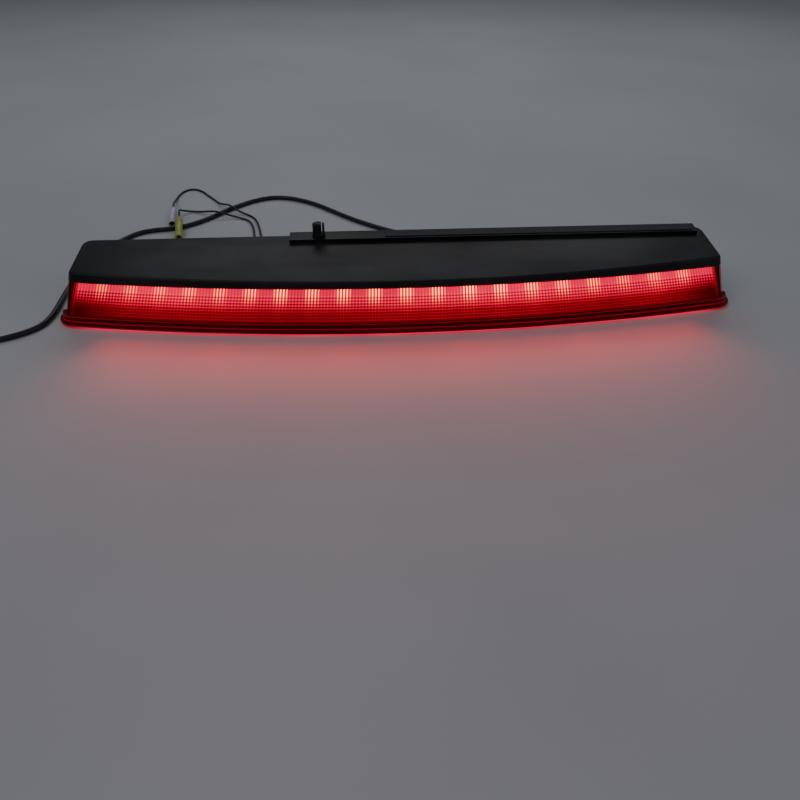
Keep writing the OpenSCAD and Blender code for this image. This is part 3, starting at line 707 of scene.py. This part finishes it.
def front_path(inset, end_inset, lowest_y=SPLIT_Y, corner_steps=10, front_steps=150):
    """Plan points along the front, from the left end to the right, drawn in from the base outline."""
    r = FRONT_R - inset
    half = HALF_LEN - end_inset
    corner = max(FRONT_CORNER_R - inset, 2)
    centre_x = half - corner
    centre_y = AXIS_Y - math.sqrt((r - corner) ** 2 - centre_x ** 2)
    lean_in = math.atan2(centre_y - AXIS_Y, centre_x)
    right = []
    for i in range(4):
        right.append((half, lowest_y + (centre_y - lowest_y) * i / 4))
    for i in range(corner_steps + 1):
        a = lean_in * i / corner_steps
        right.append((centre_x + corner * math.cos(a), centre_y + corner * math.sin(a)))
    sweep = math.pi / 2 + lean_in
    for i in range(1, front_steps // 2 + 1):
        a = lean_in - sweep * i / (front_steps // 2)
        right.append((r * math.cos(a), AXIS_Y + r * math.sin(a)))
    left = [(-x, y) for x, y in right[:-1]]
    return left + right[::-1]


def lens_profile():
    """Points of the lens's section: distance in from the wall's own face, height, lean and look."""
    profile = [
        (-FLANGE_W + 0.3, 0.0, 0, BRIGHT), (-FLANGE_W, 0.3, 0, BRIGHT), (-FLANGE_W, 2.2, 0, DARK),
        (-FLANGE_W, FLANGE_H - 0.4, 0, DARK), (-FLANGE_W + 0.4, FLANGE_H, 0, DARK),
        (-STEP_W - 1.0, FLANGE_H, 0, GLINT_LINE), (-STEP_W - 0.3, FLANGE_H + 0.2, 0, GLINT_LINE),
        (-STEP_W, FLANGE_H + 0.8, 0, DARK), (-STEP_W, STEP_TOP - 0.7, 0, GLINT_LINE),
        (-STEP_W + 0.35, STEP_TOP, 0, DARK), (-0.3, STEP_TOP, 1, CLEAR), (0, STEP_TOP + 0.4, 1, CLEAR),
    ]
    profile += [(0, z, 1, CLEAR) for z in (12, 18, 24, 29, LENS_TOP - 0.3)]
    profile += [(0.3, LENS_TOP, 1, CLEAR), (WALL - 0.3, LENS_TOP, 1, CLEAR)]
    profile += [(WALL, z, 1, CLEAR) for z in (LENS_TOP - 0.3, 29, 24, 18, 12, 6, 0.3)]
    return profile + [(WALL - 0.3, 0.0, 1, CLEAR)]


def end_offset(offset):
    """An offset of the section at the lamp's ends, where the flange is narrower."""
    past_step = min(offset + STEP_W, 0)
    return offset - past_step * (FLANGE_W - FLANGE_END_W) / (FLANGE_W - STEP_W)


def make_lens(*materials):
    """Red cover with a stepped flange, as one closed shell with rounded edges."""
    profile = lens_profile()
    rows = []
    for offset, z, leans, _ in profile:
        path = front_path(offset + LEAN * z * leans, end_offset(offset) + END_LEAN * z * leans)
        rows.append([(x, y, z) for x, y in path])
    columns = len(rows[0])
    faces = grid_faces(len(rows), columns, close_rows=True)
    slots = [profile[i // (columns - 1)][3] for i in range(len(faces))]
    faces.append([r * columns for r in range(len(rows))])
    faces.append([r * columns + columns - 1 for r in reversed(range(len(rows)))])
    slots += [DARK, DARK]
    piece = new_piece("lens_cover", [v for row in rows for v in row], faces, "lamp", materials)
    for face, slot in zip(piece.data.polygons, slots):
        face.material_index = slot
        face.use_smooth = slot == CLEAR
    turn_outward(piece)
    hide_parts("outer_lens")


# ---------------------------------------------------------------- fluted optic

OPTIC_FRONT = WALL + 1
OPTIC_T = 2
OPTIC_LOW = 3.4
OPTIC_HIGH = 35.5
GRID_LOW = 5.6
HALF_GRID = 256.0
GRID_FLARE = 0.36
END_CURVE_R = 5.0
END_CURVE_TURN = 1.35
END_STEPS = 13
PLEAT_STEPS = 4
FLUTE_DEPTH = 0.35
RIB_DEPTH = 0.30
RIBS_TOP = 27
# How far the hollows of the flutes lie behind the plate's front, and how far the grid stops below its top
SET_BACK = 0.7
TOP_EDGE = 0.6
STEPS_PER_RIDGE = 5
# What each stretch of the optic shows: lit grid, dark foot and rim, bright strip or dark pleat
LIT, RIM, STRIP, PLEAT = range(4)


def make_optic(*materials):
    """Curved plate with upright flutes and level ribs, which turns in at its ends in upright pleats."""
    across = int(2 * HALF_GRID / FLUTE_PITCH * STEPS_PER_RIDGE)
    sides = [2 * i / across - 1 for i in range(across + 1)]
    turns = [(i + 1) / END_STEPS for i in range(END_STEPS)]
    sides = [-1 - t for t in reversed(turns)] + sides + [1 + t for t in turns]
    grid_top = OPTIC_HIGH - TOP_EDGE
    up = int((grid_top - GRID_LOW) / RIB_PITCH * STEPS_PER_RIDGE)
    heights = [OPTIC_LOW, GRID_LOW - 0.3]
    heights += [GRID_LOW + (grid_top - GRID_LOW) * i / up for i in range(up + 1)]
    heights += [OPTIC_HIGH - 0.4, OPTIC_HIGH]
    vertices = []
    for z in heights:
        for u in sides:
            raised = relief(u, z, GRID_LOW <= z <= grid_top)
            vertices.append(on_optic(u, raised - SET_BACK, z))
    columns = len(sides)
    count = len(heights) * columns
    for z in (heights[0], heights[-1]):
        vertices += [on_optic(u, -OPTIC_T, z) for u in sides]
    faces = grid_faces(len(heights), columns)
    slots = []
    for i in range(len(faces)):
        row, column = divmod(i, columns - 1)
        past = max(END_STEPS - 1 - column, column - (columns - 1 - END_STEPS))
        if row < 2:
            slots.append(RIM)
        elif past < 0:
            slots.append(LIT)
        else:
            on_strip = past < PLEAT_STEPS or past % PLEAT_STEPS == PLEAT_STEPS - 1
            slots.append(STRIP if on_strip else PLEAT)
    top_row = count - columns
    for c in range(columns - 1):
        faces.append((c, count + c, count + c + 1, c + 1))
        faces.append((top_row + c, top_row + c + 1, count + columns + c + 1, count + columns + c))
        faces.append((count + c, count + columns + c, count + columns + c + 1, count + c + 1))
    for edge in (0, columns - 1):
        side = [r * columns + edge for r in range(len(heights))]
        faces.append(side + [count + columns + edge, count + edge])
    slots += [RIM] * (len(faces) - len(slots))
    piece = new_piece("fluted_optic", vertices, faces, "lamp", materials)
    for face, slot in zip(piece.data.polygons, slots):
        face.material_index = slot
    turn_outward(piece)
    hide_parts("inner_optic")


def relief(u, z, in_grid):
    """How far the optic's face stands out: flutes and ribs on the grid, pleats round the ends."""
    if not in_grid:
        return 0.5 * (FLUTE_DEPTH + RIB_DEPTH)
    if abs(u) > 1:
        return FLUTE_DEPTH * (0.5 + 0.5 * math.cos(TAU * (abs(u) - 1) * END_STEPS / PLEAT_STEPS))
    raised = FLUTE_DEPTH * (0.5 + 0.5 * math.cos(TAU * u * HALF_GRID / FLUTE_PITCH))
    if z < RIBS_TOP:
        raised += RIB_DEPTH * (0.5 + 0.5 * math.cos(TAU * z / RIB_PITCH))
    return raised


def on_optic(u, out, z):
    """Point on the optic: u runs from -1 to 1 over the grid, and on to -2 and 2 round the turned-in ends."""
    half = HALF_GRID + GRID_FLARE * (OPTIC_HIGH - z)
    side = math.copysign(1, u)
    flat = min(abs(u), 1) * half
    x, y, _ = on_front(flat, OPTIC_FRONT + LEAN * z, z)
    a = flat / LED_ROW_R
    ahead, across = Vector((math.sin(a), -math.cos(a))), Vector((math.cos(a), math.sin(a)))
    turn = max(abs(u) - 1, 0) * END_CURVE_TURN
    centre = Vector((x, y)) - END_CURVE_R * ahead
    at = centre + (END_CURVE_R + out) * (math.cos(turn) * ahead + math.sin(turn) * across)
    return (side * at.x, at.y, z)


def on_front(along, inset, z):
    """Point a distance along the curve of the lights' row and inset behind the base's front wall."""
    a = along / LED_ROW_R
    r = FRONT_R - inset
    return (r * math.sin(a), AXIS_Y - r * math.cos(a), z)


# ---------------------------------------------------------------- light and floor


def area_light(name, at, to, size, power, colour=(1, 1, 1), spread=180):
    data = bpy.data.lights.new(name, "AREA")
    data.shape = "RECTANGLE"
    data.size, data.size_y = size
    data.energy = power
    data.color = colour
    data.spread = math.radians(spread)
    light = bpy.data.objects.new(name, data)
    bpy.context.scene.collection.objects.link(light)
    light.location = at
    light.rotation_mode = "QUATERNION"
    light.rotation_quaternion = (Vector(to) - Vector(at)).to_track_quat("-Z", "Y")
    return light


# Studio lights, all aimed at the lamp: name, where each stands, its size and its power
STUDIO_LIGHTS = [
    ("key", (-0.9, -0.5, 1.5), (1.2, 1.2), 4.2),
    ("fill", (1.2, -0.7, 1.0), (1.4, 1.0), 1.7),
    ("back", (0.1, 1.3, 1.1), (1.6, 0.6), 3.6),
]
LAMP_MIDDLE = (0, 0.05, 0)
SKY_COLOUR = (0.75, 0.82, 1.0, 1)
SKY_STRENGTH = 0.11
FLOOR_SIZE = 12
# Red light that the lamp throws on the floor before it: a row of small lights just before the lens
GLOW_LIGHTS = 5
GLOW_ROW = 1.8 * HALF_GRID
GLOW_SIZE = (0.1, 0.02)
GLOW_POWER = 0.024
GLOW_FLOOR_COLOUR = (1, 0.0, 0.004)
GLOW_SPREAD = 85
# How far behind the front wall, and how high, each light stands and aims
GLOW_STANDS = (-4, 20)
GLOW_AIMS = (-170, 0)


def make_lights():
    for name, at, size, power in STUDIO_LIGHTS:
        area_light(name, at, LAMP_MIDDLE, size, power)
    for i in range(GLOW_LIGHTS):
        along = (i - (GLOW_LIGHTS - 1) / 2) * GLOW_ROW / GLOW_LIGHTS
        at = metres(on_front(along, *GLOW_STANDS))
        to = metres(on_front(along, *GLOW_AIMS))
        glow = area_light(f"glow_{i}", at, to, GLOW_SIZE, GLOW_POWER, GLOW_FLOOR_COLOUR, GLOW_SPREAD)
        glow.visible_camera = False
        glow.visible_glossy = False


def make_world():
    world = bpy.data.worlds.new("studio")
    world.use_nodes = True
    background = world.node_tree.nodes["Background"]
    background.inputs["Color"].default_value = SKY_COLOUR
    background.inputs["Strength"].default_value = SKY_STRENGTH
    bpy.context.scene.world = world


def make_floor():
    s = Shader("floor")
    colour = s.mix(s.step(s.noise(3, 3), 0.3, 0.7), (0.60, 0.61, 0.62), (0.55, 0.56, 0.575))
    surface = s.principled(Base_Color=colour, Roughness=0.6, Normal=s.bump(s.noise(300, 2), 0.0001, 0.2))
    bpy.ops.mesh.primitive_plane_add(size=FLOOR_SIZE, location=(0, 0, 0))
    floor = bpy.context.object
    floor.name = "floor"
    floor.data.materials.append(s.finish(surface))


# ---------------------------------------------------------------- put it together


def dress(material, *names, width=0.25, segments=2):
    """Gives CAD nodes a material and softly rounded edges."""
    for name in names:
        node = nodes[name]
        node.data.materials.clear()
        node.data.materials.append(material)
        if width:
            soften(node, width, segments, weld=0.00001)


def make_cords():
    wire = jacket("wire_jacket", (0.010, 0.013, 0.024), 0.30)
    lead = jacket("lead_jacket", (0.010, 0.011, 0.011), 0.34)
    pale = make_sleeve("sleeve_a", soft_sleeve("sleeve_pale", (0.74, 0.70, 0.80), (0.62, 0.58, 0.68)))
    yellow = make_sleeve("sleeve_b", soft_sleeve("sleeve_yellow", (0.50, 0.56, 0.10), (0.40, 0.46, 0.07)))
    make_cord("wire_a", WIRE_A, WIRE_D, wire, "wire_jacket", far_end="connector",
              with_pieces=[nodes["terminal_a"], pale])
    make_cord("wire_b", WIRE_B, WIRE_D, wire, "wire_jacket", far_end="connector",
              with_pieces=[nodes["terminal_b"], yellow])
    make_cord("supply_lead", LEAD, LEAD_D, lead, "lead_jacket", far_end="plug",
              with_pieces=[nodes["lead_plug"], nodes["plug_pins"]])
    dress(wire, "inner_wires", width=0)


def dress_parts():
    boards = range(1, 5)
    black = moulded_plastic("housing_black", (0.010, 0.010, 0.011))
    dress(black, "housing", width=0.35, segments=3)
    dress(moulded_plastic("base_black", (0.014, 0.014, 0.015), 1800, 0.52), "base_plate")
    trim = moulded_plastic("trim_black", (0.008, 0.008, 0.009), 3200, 0.38)
    dress(trim, "vent_plug", "locating_peg", "lead_plug")
    seal = rubber("seal_rubber", (0.010, 0.010, 0.010))
    dress(seal, "stud_washers", "wire_grommet", "lead_relief", width=0.3)
    dress(rubber("gasket_rubber", (0.016, 0.016, 0.016)), "base_gasket", "lens_seal", width=0)
    dress(foam("foam_strip"), "ridge_strip", width=0.2)
    steel = zinc_steel("zinc_steel")
    dress(steel, "base_screws", "reflector_screws", "board_screws")
    make_stud("stud_left", -STUD_X, steel)
    make_stud("stud_right", STUD_X, steel)
    dress(brass("brass"), "terminal_a", "terminal_b", "plug_pins", width=0.15)
    dress(tinned_copper("tinned_copper"), "board_links", width=0.15)
    dress(metallised("metallised"), "reflector", width=0)
    dress(circuit_board("board_white"), *[f"led_board_{i}" for i in boards], width=0.15)
    dress(led_epoxy("led_epoxy"), *[f"leds_{i}" for i in boards], width=0.15)
    dress(chip("chip_black"), *[f"resistors_{i}" for i in boards], width=0.1)


def make_lit_parts():
    clear = lens_clear("lens_red")
    bright = lens_edge("lens_rim", (1.0, 0.02, 0.08), 0.95, at_ends=0.3)
    dark = lens_edge("lens_dark", (1.0, 0.0, 0.01), 0.012)
    # Thin painted glints along the lens's step edges, drawn as faint red light.
    line = lens_edge("lens_painted_glint", (1.0, 0.01, 0.05), 0.19)
    make_lens(clear, bright, dark, line)
    lit = optic_lit()
    rim = lens_edge("optic_foot", (1.0, 0.0, 0.02), 0.05)
    strip = lens_edge("optic_strip", (1.0, 0.0, 0.12), 0.75, at_foot=0.15)
    pleat = lens_edge("optic_pleat", (1.0, 0.0, 0.06), 0.05)
    make_optic(lit, rim, strip, pleat)


make_camera()
make_cords()
dress_parts()
make_lit_parts()
make_world()
make_lights()
make_floor()
